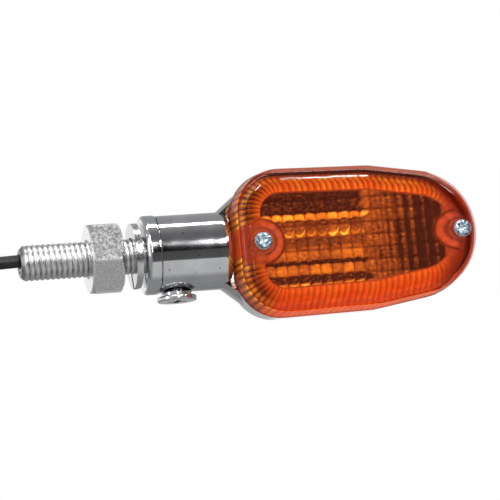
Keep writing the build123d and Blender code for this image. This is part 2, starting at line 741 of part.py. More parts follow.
with BuildPart() as cable_tie:
    tie_width = 2 * (coil_gap + TIE_GAP)
    tie_depth = coil_depth + 2 * TIE_GAP
    with BuildSketch(Plane.XY.offset(coil_z - TIE_WIDTH / 2)):
        with Locations((lead_x, tail_y / 2)):
            RectangleRounded(
                tie_width + 2 * TIE_THICKNESS,
                tie_depth + 2 * TIE_THICKNESS,
                TIE_THICKNESS,
            )
            Rectangle(tie_width, tie_depth, mode=Mode.SUBTRACT)
        with Locations((lead_x - tie_width / 2 - TIE_THICKNESS - 1.5, tail_y / 2)):
            Rectangle(3.2, 4.5)
    extrude(amount=TIE_WIDTH)
pieces["cable_tie"] = cable_tie

with BuildPart() as end_sleeve:
    with BuildSketch(Plane.XY.offset(TAIL_END_Z - SLEEVE_BEYOND)):
        with Locations((lead_x, tail_y)):
            Circle(SLEEVE_R)
        with Locations(
            (lead_x, tail_y + TAIL_CORE_SPACING),
            (lead_x, tail_y - TAIL_CORE_SPACING),
        ):
            Circle(TAIL_CORE_R, mode=Mode.SUBTRACT)
    extrude(amount=SLEEVE_BEYOND)
    with BuildSketch(Plane.XY.offset(TAIL_END_Z)):
        with Locations((lead_x, tail_y)):
            Circle(SLEEVE_R)
            Circle(LEAD_R, mode=Mode.SUBTRACT)
    extrude(amount=SLEEVE_LENGTH - SLEEVE_BEYOND)
pieces["end_sleeve"] = end_sleeve

core_ends = {"signal": (1, SIGNAL_CORE_END_Z), "ground": (-1, GROUND_CORE_END_Z)}
for wire_name, (side, core_bottom_z) in core_ends.items():
    core_y = tail_y + side * TAIL_CORE_SPREAD
    core_top_y = tail_y + side * TAIL_CORE_SPACING
    with BuildPart() as bullet:
        with BuildSketch(Plane.XY.offset(core_bottom_z - BULLET_SLEEVE_LENGTH)):
            with Locations((lead_x, core_y)):
                Circle(BULLET_R)
        extrude(amount=BULLET_SLEEVE_LENGTH)
        fillet(bullet.edges().filter_by(GeomType.CIRCLE), 0.5)
        with BuildSketch(Plane.XY.offset(core_bottom_z - BULLET_SLEEVE_LENGTH - BULLET_PIN_LENGTH)):
            with Locations((lead_x, core_y)):
                Circle(BULLET_PIN_R)
        extrude(amount=BULLET_PIN_LENGTH)
        fillet(bullet.edges().group_by(Axis.Z)[0], BULLET_PIN_R * 0.6)
    pieces[f"bullet_{wire_name}"] = bullet
    core_route = [
        (lead_x, core_top_y, TAIL_END_Z),
        (lead_x, core_top_y, TAIL_END_Z - SLEEVE_BEYOND - 2),
        (lead_x, core_y, (TAIL_END_Z - SLEEVE_BEYOND - 2 + core_bottom_z) / 2),
        (lead_x, core_y, core_bottom_z),
    ]
    wires[f"core_{wire_name}"] = wire_solid(core_route, TAIL_CORE_R)

wires["signal_wire"] = wire_solid(SIGNAL_WIRE_ROUTE, CORE_R)
wires["ground_wire"] = wire_solid(GROUND_WIRE_ROUTE, CORE_R)
wires["stem_lead"] = wire_solid([(LEAD_JOIN_X, 0, LEAD_Z), (SPIGOT_END_X, 0, LEAD_Z)], LEAD_R)
wires["cable"] = wire_solid(LEAD_ROUTE, LEAD_R)
tail_route = [(lead_x, tail_y, coil_z - COIL_TAIL_DROP), (lead_x, tail_y, TAIL_END_Z)]
wires["cable_tail"] = wire_solid(tail_route, LEAD_R)

# --- write every piece to its own file ------------------------------------------------------
os.makedirs("parts", exist_ok=True)
for name, piece in pieces.items():
    piece.part.label = name
    export_step(piece.part, f"parts/{name}.step")
for name, wire in wires.items():
    wire.label = name
    export_step(wire, f"parts/{name}.step")
print("lead's corner radii:", [round(r, 1) for r in corner_radii(LEAD_ROUTE)])
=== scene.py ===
"""Looks for the turn signal indicator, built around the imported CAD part.

Everything is in metres, except the lead's route and coil and the tables of brightness by place,
which are in millimetres.
"""

import math
import random

import bmesh
import bpy
import numpy as np
from mathutils import Matrix, Vector, noise


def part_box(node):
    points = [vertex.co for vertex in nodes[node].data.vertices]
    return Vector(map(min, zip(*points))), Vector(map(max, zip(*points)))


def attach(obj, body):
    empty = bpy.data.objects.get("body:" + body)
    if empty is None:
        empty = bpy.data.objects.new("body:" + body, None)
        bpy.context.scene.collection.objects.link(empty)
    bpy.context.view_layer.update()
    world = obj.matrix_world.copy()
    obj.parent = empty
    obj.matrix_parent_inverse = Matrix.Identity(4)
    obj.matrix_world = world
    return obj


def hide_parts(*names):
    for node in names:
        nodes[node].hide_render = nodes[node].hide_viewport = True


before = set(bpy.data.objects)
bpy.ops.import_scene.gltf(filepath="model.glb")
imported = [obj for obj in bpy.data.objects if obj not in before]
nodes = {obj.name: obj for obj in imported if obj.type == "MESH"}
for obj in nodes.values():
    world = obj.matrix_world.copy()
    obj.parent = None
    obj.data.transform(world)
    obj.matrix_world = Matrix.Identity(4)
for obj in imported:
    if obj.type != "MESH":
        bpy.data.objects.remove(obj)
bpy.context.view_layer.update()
random.seed(7)

MM = 0.001

# --- camera ---------------------------------------------------------------------------
VIEW_SIDE = math.radians(-13.3)
VIEW_UP = math.radians(-8.0)
VIEW_ROLL = math.radians(5.6)
VIEW_DISTANCE = 0.8
VIEW_WIDTH = 140.8 * MM
VIEW_TARGET = Vector((31.3, 0.0, -0.3)) * MM
SENSOR_MM = 36.0
CLIP = (0.05, 100)
VIEW_BACK = Vector((
    math.sin(VIEW_SIDE) * math.cos(VIEW_UP),
    -math.cos(VIEW_SIDE) * math.cos(VIEW_UP),
    math.sin(VIEW_UP),
))
VIEW_POINT = VIEW_TARGET + VIEW_BACK * VIEW_DISTANCE


def add_camera():
    """A long lens, in front of the lamp's stem side and from slightly below."""
    data = bpy.data.cameras.new("camera")
    data.sensor_width = SENSOR_MM
    data.lens = SENSOR_MM * VIEW_DISTANCE / VIEW_WIDTH
    data.clip_start, data.clip_end = CLIP
    camera = bpy.data.objects.new("camera", data)
    bpy.context.scene.collection.objects.link(camera)
    aim = (-VIEW_BACK).to_track_quat("-Z", "Y").to_matrix().to_4x4()
    roll = Matrix.Rotation(-VIEW_ROLL, 4, "Z")
    camera.matrix_world = Matrix.Translation(VIEW_POINT) @ aim @ roll
    bpy.context.scene.camera = camera


add_camera()


# --- mesh and piece helpers -------------------------------------------------------------
def new_piece(name, data, body, material):
    """An object that rides on a body, with its material."""
    piece = bpy.data.objects.new(name, data)
    bpy.context.scene.collection.objects.link(piece)
    data.materials.append(material)
    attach(piece, body)
    return piece


def grid_mesh(name, rows, wrap=False, **colours):
    """A smooth mesh through rows of points, with named colour layers. With wrap, rows close."""
    count = len(rows[0])
    mesh = bpy.data.meshes.new(name)
    points = [p for row in rows for p in row]
    faces = []
    for j in range(len(rows) - 1):
        for i in range(count if wrap else count - 1):
            k = (i + 1) % count
            faces.append((j * count + i, j * count + k, (j + 1) * count + k, (j + 1) * count + i))
    mesh.from_pydata(points, [], faces)
    mesh.polygons.foreach_set("use_smooth", [True] * len(faces))
    for layer_name, colour_rows in colours.items():
        layer = mesh.attributes.new(layer_name, "FLOAT_COLOR", "POINT")
        flat = [v for row in colour_rows for c in row for v in (*c, 1.0)]
        layer.data.foreach_set("color", flat)
    mesh.update()
    return mesh


# --- material helpers -------------------------------------------------------------------
def grey(value):
    """A colour with all three parts alike."""
    return (value,) * 3


def start_material(name):
    """A new material, its node tree and its Principled shader."""
    material = bpy.data.materials.new(name)
    material.use_nodes = True
    tree = material.node_tree
    shader = next(n for n in tree.nodes if n.type == "BSDF_PRINCIPLED")
    return material, tree, shader


def noise_field(tree, scale, detail=3.0, stretch=(1, 1, 1)):
    """Noise in the object's own space, scale in features per metre."""
    place = tree.nodes.new("ShaderNodeTexCoord")
    mapping = tree.nodes.new("ShaderNodeMapping")
    mapping.inputs["Scale"].default_value = stretch
    field = tree.nodes.new("ShaderNodeTexNoise")
    field.inputs["Scale"].default_value = scale
    field.inputs["Detail"].default_value = detail
    tree.links.new(place.outputs["Object"], mapping.inputs["Vector"])
    tree.links.new(mapping.outputs["Vector"], field.inputs["Vector"])
    return field.outputs["Fac"]


def coordinates(tree, space="Object"):
    """Separate X, Y and Z outputs of a texture coordinate."""
    place = tree.nodes.new("ShaderNodeTexCoord")
    split = tree.nodes.new("ShaderNodeSeparateXYZ")
    tree.links.new(place.outputs[space], split.inputs["Vector"])
    return split.outputs


def distance_from_x_axis(tree):
    """How far each point of the object lies from the X axis."""
    place = tree.nodes.new("ShaderNodeTexCoord")
    flat = tree.nodes.new("ShaderNodeVectorMath")
    flat.operation = "MULTIPLY"
    flat.inputs[1].default_value = (0, 1, 1)
    length = tree.nodes.new("ShaderNodeVectorMath")
    length.operation = "LENGTH"
    tree.links.new(place.outputs["Object"], flat.inputs[0])
    tree.links.new(flat.outputs["Vector"], length.inputs[0])
    return length.outputs["Value"]


def ramp(tree, factor, stops):
    """A colour ramp with (position, colour) stops."""
    node = tree.nodes.new("ShaderNodeValToRGB")
    elements = node.color_ramp.elements
    while len(elements) < len(stops):
        elements.new(0.5)
    for element, (position, colour) in zip(elements, stops):
        element.position = position
        element.color = (*colour, 1)
    tree.links.new(factor, node.inputs["Fac"])
    return node.outputs["Color"]


def spread(tree, factor, low, high, start=0.3, end=0.7):
    """factor from start to end, mapped to low to high."""
    node = tree.nodes.new("ShaderNodeMapRange")
    node.inputs["From Min"].default_value = start
    node.inputs["From Max"].default_value = end
    node.inputs["To Min"].default_value = low
    node.inputs["To Max"].default_value = high
    tree.links.new(factor, node.inputs["Value"])
    return node.outputs["Result"]


def bump(tree, shader, height, strength, distance):
    """Fine relief on the shader's normal."""
    node = tree.nodes.new("ShaderNodeBump")
    node.inputs["Strength"].default_value = strength
    node.inputs["Distance"].default_value = distance
    tree.links.new(height, node.inputs["Height"])
    tree.links.new(node.outputs["Normal"], shader.inputs["Normal"])


def mixed(tree, factor, a, b):
    """A colour between the colour outputs a and b."""
    node = tree.nodes.new("ShaderNodeMix")
    node.data_type = "RGBA"
    tree.links.new(factor, node.inputs["Factor"])
    tree.links.new(a, node.inputs["A"])
    tree.links.new(b, node.inputs["B"])
    return node.outputs["Result"]


def multiplied(tree, a, b):
    """The product of two colours."""
    node = tree.nodes.new("ShaderNodeMix")
    node.data_type = "RGBA"
    node.blend_type = "MULTIPLY"
    node.inputs["Factor"].default_value = 1.0
    tree.links.new(a, node.inputs["A"])
    tree.links.new(b, node.inputs["B"])
    return node.outputs["Result"]


def surface(name, dark, light, scale, roughness, metal=0.0, grain=(2500, 0.15, 0.00005),
            stretch=(1, 1, 1)):
    """A surface whose colour and roughness drift between two values.

    grain is its bump's noise scale, strength and depth.
    """
    material, tree, shader = start_material(name)
    drift = noise_field(tree, scale, stretch=stretch)
    tree.links.new(ramp(tree, drift, [(0.3, dark), (0.7, light)]), shader.inputs["Base Color"])
    tree.links.new(spread(tree, drift, *roughness), shader.inputs["Roughness"])
    shader.inputs["Metallic"].default_value = metal
    fineness, strength, depth = grain
    bump(tree, shader, noise_field(tree, fineness, 2.0, stretch), strength, depth)
    return material


def chrome(name):
    """Polished plate with a slight ripple and tiny dark pits."""
    material, tree, shader = start_material(name)
    place = tree.nodes.new("ShaderNodeTexCoord")
    pits = tree.nodes.new("ShaderNodeTexVoronoi")
    pits.inputs["Scale"].default_value = 420
    tree.links.new(place.outputs["Object"], pits.inputs["Vector"])
    pit = spread(tree, pits.outputs["Distance"], 0.0, 1.0, 0.06, 0.12)
    drift = noise_field(tree, 160)
    plate = ramp(tree, drift, [(0.35, (0.70, 0.71, 0.73)), (0.65, (0.80, 0.81, 0.82))])
    speck = ramp(tree, pit, [(0.0, (0.16, 0.15, 0.14)), (1.0, (0.95, 0.95, 0.95))])
    tree.links.new(multiplied(tree, plate, speck), shader.inputs["Base Color"])
    tree.links.new(spread(tree, drift, 0.05, 0.13), shader.inputs["Roughness"])
    shader.inputs["Metallic"].default_value = 1.0
    bump(tree, shader, noise_field(tree, 120, detail=1.5), 0.25, 0.00012)
    return material


def threaded_steel(name, low_r, high_r):
    """Zinc plated thread: bright crests, grey roots, by distance from the X axis."""
    material, tree, shader = start_material(name)
    height = spread(tree, distance_from_x_axis(tree), 0.0, 1.0, low_r, high_r)
    drift = noise_field(tree, 700)
    root = ramp(tree, drift, [(0.3, (0.30, 0.30, 0.30)), (0.7, (0.46, 0.46, 0.47))])
    crest = ramp(tree, drift, [(0.3, (0.74, 0.74, 0.75)), (0.7, (0.90, 0.90, 0.90))])
    tree.links.new(mixed(tree, height, root, crest), shader.inputs["Base Color"])
    tree.links.new(spread(tree, drift, 0.26, 0.44), shader.inputs["Roughness"])
    shader.inputs["Metallic"].default_value = 1.0
    bump(tree, shader, noise_field(tree, 2200, detail=2.0), 0.2, 0.00006)
    return material


STEEL_GRAIN = (1800, 0.16, 0.00006)
MATERIALS = {
    "chrome": chrome("chrome"),
    "spring_steel": surface("spring_steel", (0.52, 0.52, 0.53), (0.82, 0.82, 0.82), 1800,
                            (0.14, 0.3), metal=1.0, grain=STEEL_GRAIN),
    "clamp_steel": surface("clamp_steel", (0.50, 0.50, 0.51), (0.82, 0.82, 0.83), 700,
                           (0.14, 0.28), metal=1.0, grain=(2000, 0.25, 0.00005)),
    "rubber": surface("rubber", (0.010, 0.010, 0.011), (0.028, 0.027, 0.026), 900, (0.5, 0.75)),
    "mirror": surface("mirror", (0.80, 0.80, 0.79), (0.90, 0.90, 0.88), 200, (0.06, 0.16),
                      metal=1.0, grain=(500, 0.1, 0.00005)),
    "tin_strip": surface("tin_strip", (0.55, 0.53, 0.48), (0.74, 0.72, 0.66), 500, (0.25, 0.45),
                         metal=1.0, stretch=(0.2, 1, 1)),
    "rivet": surface("rivet", (0.55, 0.55, 0.54), (0.75, 0.75, 0.74), 900, (0.3, 0.5), metal=1.0),
    "brass": surface("brass", (0.60, 0.44, 0.20), (0.80, 0.64, 0.34), 500, (0.18, 0.36),
                     metal=1.0),
    "phenolic": surface("phenolic", (0.10, 0.045, 0.02), (0.20, 0.095, 0.045), 1200, (0.45, 0.65),
                        stretch=(0.3, 1, 1)),
    "black_glass": surface("black_glass", (0.01, 0.01, 0.012), (0.03, 0.03, 0.035), 600,
                           (0.08, 0.16)),
    "solder": surface("solder", (0.50, 0.50, 0.50), (0.72, 0.72, 0.71), 1200, (0.3, 0.5),
                      metal=1.0),
    "tungsten": surface("tungsten", (0.20, 0.20, 0.21), (0.36, 0.36, 0.37), 3000, (0.35, 0.5),
                        metal=1.0),
    "black_pvc": surface("black_pvc", (0.003, 0.003, 0.0035), (0.009, 0.009, 0.010), 500,
                         (0.38, 0.55)),
    "orange_pvc": surface("orange_pvc", (0.62, 0.17, 0.015), (0.80, 0.28, 0.03), 500,
                          (0.35, 0.5)),
    "nylon": surface("nylon", (0.012, 0.012, 0.013), (0.03, 0.03, 0.032), 700, (0.4, 0.55)),
}


def clear_glass(name, tint):
    """Thin clear glass with slight unevenness."""
    material, tree, shader = start_material(name)
    drift = noise_field(tree, 300)
    tree.links.new(ramp(tree, drift, [(0.3, tint), (0.7, (1, 1, 1))]), shader.inputs["Base Color"])
    tree.links.new(spread(tree, drift, 0.0, 0.04), shader.inputs["Roughness"])
    shader.inputs["Transmission Weight"].default_value = 1.0
    shader.inputs["IOR"].default_value = 1.46
    shader.inputs["Alpha"].default_value = 0.55
    return material


MATERIALS["bulb_glass"] = clear_glass("bulb_glass", (0.93, 0.95, 0.95))
MATERIALS["mount_glass"] = clear_glass("mount_glass", (0.80, 0.86, 0.84))

BULLET_PIN = 5.0 * MM


def bullet_material():
    """A brass pin below a pale insulating sleeve, split at the sleeve's end."""
    material, tree, shader = start_material("bullet")
    sleeve_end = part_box("bullet_signal")[0].z + BULLET_PIN
    sleeve = spread(tree, coordinates(tree)["Z"], 0, 1, sleeve_end - 0.1 * MM, sleeve_end)
    drift = noise_field(tree, 700)
    brass = ramp(tree, drift, [(0.3, (0.62, 0.45, 0.2)), (0.7, (0.82, 0.66, 0.36))])
    cover = ramp(tree, drift, [(0.3, (0.42, 0.40, 0.36)), (0.7, (0.58, 0.56, 0.5))])
    tree.links.new(mixed(tree, sleeve, brass, cover), shader.inputs["Base Color"])
    tree.links.new(spread(tree, sleeve, 1, 0, 0, 1), shader.inputs["Metallic"])
    tree.links.new(spread(tree, drift, 0.25, 0.4), shader.inputs["Roughness"])
    return material


MATERIALS["bullet"] = bullet_material()


def lens_screw_material():
    """Blue zinc: a dark, uneven face, and a painted highlight that makes its cross recess and a rim
    below it pale.
    """
    material, tree, shader = start_material("screw_steel")
    face_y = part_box("lens_screw_inner")[0].y
    # painted highlight: pale in the cross recess and on the head below its face
    below = spread(tree, coordinates(tree)["Y"], 0, 1, face_y + 0.05 * MM, face_y + 0.3 * MM)
    drift = noise_field(tree, 1300)
    face = ramp(tree, drift, [(0.38, (0.02, 0.05, 0.09)), (0.68, (0.40, 0.50, 0.58))])
    pale = ramp(tree, drift, [(0.3, (0.66, 0.76, 0.84)), (0.7, (0.90, 0.94, 0.97))])
    tree.links.new(mixed(tree, below, face, pale), shader.inputs["Base Color"])
    tree.links.new(spread(tree, drift, 0.16, 0.34), shader.inputs["Roughness"])
    shader.inputs["Metallic"].default_value = 0.85
    bump(tree, shader, noise_field(tree, 2600, detail=2.0), 0.35, 0.00006)
    return material


# the nut's painted highlight: its corners' radius, the highlight's width and its inset from each end
NUT_CORNER_R = 10.85 * MM
NUT_HIGHLIGHT_WIDTH = 0.3 * MM
NUT_HIGHLIGHT_INSET = 0.2 * MM


def nut_material():
    """Grainy bright zinc, with a painted highlight along its corners and at both ends."""
    material, tree, shader = start_material("zinc_nut")
    low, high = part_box("mounting_nut")
    x = coordinates(tree)["X"]
    left_end, right_end = low.x + NUT_HIGHLIGHT_INSET, high.x - NUT_HIGHLIGHT_INSET
    # painted highlight: brighter along the corners and at both ends
    edge_highlight = spread(tree, distance_from_x_axis(tree), 0, 1, NUT_CORNER_R - NUT_HIGHLIGHT_WIDTH, NUT_CORNER_R)
    left = spread(tree, x, 1, 0, left_end, left_end + NUT_HIGHLIGHT_WIDTH)
    right = spread(tree, x, 0, 1, right_end - NUT_HIGHLIGHT_WIDTH, right_end)
    for other in (left, right):
        larger = tree.nodes.new("ShaderNodeMath")
        larger.operation = "MAXIMUM"
        tree.links.new(edge_highlight, larger.inputs[0])
        tree.links.new(other, larger.inputs[1])
        edge_highlight = larger.outputs["Value"]
    drift = noise_field(tree, 1400, detail=6.0)
    face = ramp(tree, drift, [(0.3, (0.52, 0.52, 0.52)), (0.7, (0.76, 0.76, 0.76))])
    # the painted highlight's colour
    edge = ramp(tree, drift, [(0.3, (0.80, 0.80, 0.80)), (0.7, (0.96, 0.96, 0.96))])
    tree.links.new(mixed(tree, edge_highlight, face, edge), shader.inputs["Base Color"])
    tree.links.new(spread(tree, drift, 0.24, 0.38), shader.inputs["Roughness"])
    shader.inputs["Metallic"].default_value = 1.0
    bump(tree, shader, noise_field(tree, 1500, detail=4.0), 0.20, 0.00005)
    return material


MATERIALS["screw_steel"] = lens_screw_material()
MATERIALS["zinc_nut"] = nut_material()

# --- the lead: one spline from inside the stud, through its tied coil, to its sleeve ------
# the diameter is in metres, and the route, the coil and the hanging end in millimetres
LEAD_D = 3.6 * MM
LEAD_ROUTE = [
    (-28.0, 0.0, 0.8),
    (-52.0, 0.0, 0.8),
    (-75.5, 0.0, -7.8),
    (-86.5, 0.0, -24.5),
    (-86.5, 0.0, -42.5),
]
COIL_CENTRE = (-67.5, -47.5)
COIL_R = 19.0
COIL_TURNS = 2
COIL_PITCH = 3.8
POINTS_PER_TURN = 16
LEAD_HANG = (-86.5, 7.6, -57.0)
LEAD_END = (-86.5, 7.6, -67.0)


def lead_points():
    """The listed route, the coil's turns by loop, and the hanging end, in millimetres."""
    points = list(LEAD_ROUTE)
    for i in range(COIL_TURNS * POINTS_PER_TURN + 1):
        turn = 2 * math.pi * i / POINTS_PER_TURN
        points.append((
            COIL_CENTRE[0] - COIL_R * math.cos(turn),
            COIL_PITCH * i / POINTS_PER_TURN,
            COIL_CENTRE[1] - COIL_R * math.sin(turn),
        ))
    return points + [LEAD_HANG, LEAD_END]


def build_lead():
    """The black lead as a round tube on one open spline."""
    curve = bpy.data.curves.new("lead", "CURVE")
    curve.dimensions = "3D"
    curve.bevel_depth = LEAD_D / 2
    curve.bevel_resolution = 6
    curve.use_fill_caps = True
    points = lead_points()
    spline = curve.splines.new("NURBS")
    spline.points.add(len(points) - 1)
    for target, point in zip(spline.points, points):
        target.co = (*(Vector(point) * MM), 1)
    spline.order_u = 3
    spline.use_endpoint_u = True
    spline.resolution_u = 8
    return new_piece("lead", curve, "stem", MATERIALS["black_pvc"])


lead = build_lead()
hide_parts("cable", "cable_coil", "cable_tail")

NODE_MATERIALS = {
    "housing": "chrome", "stem_collar": "chrome", "mounting_nut": "zinc_nut",
    "lock_washer": "spring_steel", "clamp_screw": "clamp_steel", "lens_screw_inner": "screw_steel",
    "lens_screw_outer": "screw_steel", "lens_gasket": "rubber", "reflector": "mirror",
    "socket_bracket": "tin_strip", "bracket_rivets": "rivet", "socket_shell": "brass",
    "socket_insulator": "phenolic", "contact_plunger": "brass", "signal_terminal": "brass",
    "ground_terminal": "brass", "contact_spring": "spring_steel", "bulb_cap": "brass",
    "bulb_insert": "black_glass", "bulb_contact": "solder", "bulb_glass": "bulb_glass",
    "bulb_mount": "mount_glass", "filament_posts": "tungsten", "filament": "tungsten",
    "signal_wire": "orange_pvc", "ground_wire": "black_pvc", "stem_lead": "black_pvc",
    "cable_tie": "nylon", "end_sleeve": "rubber", "core_signal": "orange_pvc",
    "core_ground": "black_pvc", "bullet_signal": "bullet", "bullet_ground": "bullet",
}
for node_name, material_name in NODE_MATERIALS.items():
    node = nodes[node_name]
    node.data.materials.clear()
    node.data.materials.append(MATERIALS[material_name])

# --- threaded stud ------------------------------------------------------------------------
THREAD_PITCH = 1.5 * MM
THREAD_DEPTH = 0.45 * MM
STUD_BORE_R = 2.7 * MM
STUD_CHAMFER = 1.2 * MM
BORE_CHAMFER = 0.3 * MM
THREAD_STOP_X = -0.6 * MM
AROUND = 72
STEPS_PER_PITCH = 10
SHARP_ANGLE = math.radians(50)
WELD_DISTANCE = 1e-7


def thread_height(x, angle):
    """How far under the crest the thread is: rounded crest, straight flanks, narrow root."""
    phase = (x / THREAD_PITCH - angle / (2 * math.pi)) % 1.0
    flank = abs(phase - 0.5) * 2
    return THREAD_DEPTH * (0.45 * flank + 0.55 * flank ** 4)


def build_stud():
    """The hollow stud with its thread cut, its end chamfered and its bore through."""
    low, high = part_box("mounting_stud")
    crest_r = high.y
    count = round((high.x - low.x) / THREAD_PITCH * STEPS_PER_PITCH)
    places = [low.x + (high.x - low.x) * i / count for i in range(count + 1)]
    angles = [2 * math.pi * i / AROUND for i in range(AROUND)]
    rows = []
    for x in places:
        row = []
        for a in angles:
            r = crest_r - (thread_height(x, a) if x < THREAD_STOP_X else 0.0)
            r = min(r, crest_r - STUD_CHAMFER + (x - low.x))
            row.append((x, r * math.cos(a), r * math.sin(a)))
        rows.append(row)
    for x in (high.x, low.x + BORE_CHAMFER, low.x):
        r = STUD_BORE_R + (BORE_CHAMFER if x == low.x else 0)
        rows.append([(x, r * math.cos(a), r * math.sin(a)) for a in angles])
    rows.append(rows[0])
    mesh = grid_mesh("stud_thread", rows, wrap=True)
    work = bmesh.new()
    work.from_mesh(mesh)
    bmesh.ops.remove_doubles(work, verts=work.verts, dist=WELD_DISTANCE)
    bmesh.ops.recalc_face_normals(work, faces=work.faces)
    work.to_mesh(mesh)
    work.free()
    mesh.set_sharp_from_angle(angle=SHARP_ANGLE)
    material = threaded_steel("zinc_thread", crest_r - THREAD_DEPTH, crest_r - 0.1 * MM)
    return new_piece("stud_thread", mesh, "stem", material)


stud = build_stud()
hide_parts("mounting_stud")

# --- lens: the CAD cap as a clear amber shell, and the moulded ribs and prisms under it ----
# the ribs and prisms are coloured with painted light and shade: the mirror seen through the plastic,
# glints, and a glow
lens_low, lens_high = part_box("lens")
CORNER_R = 13.0 * MM
SHOULDER_X = 63.0 * MM
SHOULDER_R = 12.0 * MM
SHOULDER_TOP = 20.3 * MM
TIP_R = 18.0 * MM
LENS_WALL = 2.0 * MM
RIM_START = 2.15 * MM
RIM = 7.2 * MM
STRIP_Y = lens_high.y - 0.15 * MM
RIM_FOOT_Y = lens_high.y - 0.6 * MM
FACE_Y = lens_low.y + LENS_WALL + 0.1 * MM
RIB_PITCH = 1.8 * MM
RIB_DEPTH = 0.8 * MM
RIM_COLUMNS_PER_RIB = 8
RIM_STEPS = 22
# each row of the lip and strip: its painted brightness, with painted shade towards the wall's foot,
# and the place along a rib it is coloured as
STRIP_SHADES = (0.9, 1.0, 1.15, 0.6, 0.5)
STRIP_RIB_PLACES = (0.30, 0.17, 0.05, 0.0, 0.0)
STRIP_ROWS = len(STRIP_SHADES)
LIP_ROWS = 3
LIP_INSET = 0.7 * MM
RIBS_END_X = 87.0 * MM
TIP_RED_X = 80.0 * MM
OUTLINE_STEPS = 1440
STRAIGHT_STEPS = 40
PRISM_WIDTH = 3.2 * MM
PRISM_HEIGHT = 3.55 * MM
PRISM_SHIFT = 0.3 * MM
PRISM_DEPTH = 0.9 * MM
PRISM_END_X = 84.6 * MM
PRISM_COLUMNS = 260
PRISM_ROWS = 140
SCREW_XS = [
    (low.x + high.x) / 2 for low, high in (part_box("lens_screw_inner"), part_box("lens_screw_outer"))
]
BOSS_RS = (6.3 * MM, 5.8 * MM)
BOSS_STRETCH = 0.72
# painted brightness on a boss, by millimetres outside its edge
BOSS_STEPS = (-4.2, -3.5, -3.1, -2.7, -2.2, -1.6, -0.6, -0.3, 0.0, 0.3)
BOSS_SHADES = (0.50, 0.45, 1.05, 0.38, 0.85, 1.60, 1.35, 0.55, 0.22, 1.0)
PLAIN_BAND = 3.7 * MM

# colours of the moulded plastic, from the painted shade of its darkest valley to the painted
# reflection where the bulb's mirror shows
DEEP = np.array((0.030, 0.008, 0.004))
BROWN = np.array((0.30, 0.058, 0.010))
ORANGE = np.array((0.64, 0.072, 0.010))
AMBER = np.array((0.90, 0.26, 0.018))
YELLOW = np.array((1.25, 0.60, 0.055))
PLAIN = np.array((0.30, 0.038, 0.008))
DARK_RED = np.array((0.27, 0.028, 0.011))
# a painted reflection on the top of the wall
STRIP_TOP_REFLECTION = np.array((0.30, 0.17, 0.13))
STRIP_LOW = np.array((0.36, 0.050, 0.014))
# how much of each colour the relief gives off: painted light, standing in for the mirror lighting it
# from behind
PAINTED_GLOW = 0.74
TINT = 1.25

# painted reflection: how brightly the mirror shows through the prisms near the stem end: (height in
# mm, light)
BAND_LIGHT = [
    (-15.0, 0.40), (-13.7, 0.55), (-13.2, 0.80), (-12.6, 0.40), (-12.2, 0.08), (-10.6, 0.06),
    (-10.1, 0.72), (-9.0, 0.80), (-7.7, 0.64), (-7.2, 0.06), (-6.4, 0.08), (-6.0, 0.58),
    (-4.5, 0.68), (-2.6, 0.58), (-2.1, 0.36), (0.0, 0.28), (0.4, 0.74), (1.3, 0.66), (2.2, 0.46),
    (4.6, 0.34), (5.0, 0.12), (5.3, 0.98), (6.2, 1.10), (6.8, 0.94), (7.2, 0.04), (8.0, 0.12),
    (10.2, 0.09), (10.8, 0.02), (11.4, 0.07), (13.5, 0.11), (15.0, 0.11),
]
# painted glints in the prisms' laps: (lowest height in mm, reach in mm, strength)
GLINT_ROWS = ((0.3, 1.5, 0.95), (-13.5, 0.9, 0.55))
BANDS_END_X = 62.0 * MM

lens_top = lens_high.z
CIRCLES = [
    ((lens_low.x + CORNER_R, lens_top - CORNER_R), CORNER_R),
    ((SHOULDER_X, SHOULDER_TOP - SHOULDER_R), SHOULDER_R),
    ((lens_high.x - TIP_R, 0.0), TIP_R),
    ((SHOULDER_X, SHOULDER_R - SHOULDER_TOP), SHOULDER_R),
    ((lens_low.x + CORNER_R, CORNER_R - lens_top), CORNER_R),
]


def clamp(value):
    """The value kept within 0 to 1."""
    return min(1.0, max(0.0, value))


def outline_stations():
    """Centre, radius and normal round the lamp's outline, evenly spaced for the ribs."""
    raw = []
    last = None
    for i in range(OUTLINE_STEPS):
        angle = math.pi - 2 * math.pi * i / OUTLINE_STEPS
        n = (math.cos(angle), math.sin(angle))
        centre, radius = max(CIRCLES, key=lambda c: c[0][0] * n[0] + c[0][1] * n[1] + c[1])
        if last is not None and last[0] != centre:
            for k in range(1, STRAIGHT_STEPS):
                t = k / STRAIGHT_STEPS
                mid = (last[0][0] + (centre[0] - last[0][0]) * t,
                       last[0][1] + (centre[1] - last[0][1]) * t)
                raw.append((mid, last[1] + (radius - last[1]) * t, n))
        raw.append((centre, radius, n))
        last = (centre, radius)
    raw.append(raw[0])
    data = np.array([(c[0], c[1], r, n[0], n[1]) for c, r, n in raw])
    inset = data[:, 2] - RIM_START
    edge = data[:, :2] + data[:, 3:] * inset[:, None]
    along = np.concatenate([[0], np.cumsum(np.linalg.norm(np.diff(edge, axis=0), axis=1))])
    ribs = round(along[-1] / RIB_PITCH)
    count = ribs * RIM_COLUMNS_PER_RIB
    wanted = np.arange(count) / count * along[-1]
    return [np.interp(wanted, along, data[:, k]) for k in range(5)]


def boss_distance(x, z):
    """Distance outside the nearest plain boss, negative on it. The outer one is drawn out."""
    inner = math.hypot(x - SCREW_XS[0], z) - BOSS_RS[0]
    across = (x - SCREW_XS[1]) * (BOSS_STRETCH if x < SCREW_XS[1] else 1.0)
    return min(inner, math.hypot(across, z) - BOSS_RS[1])


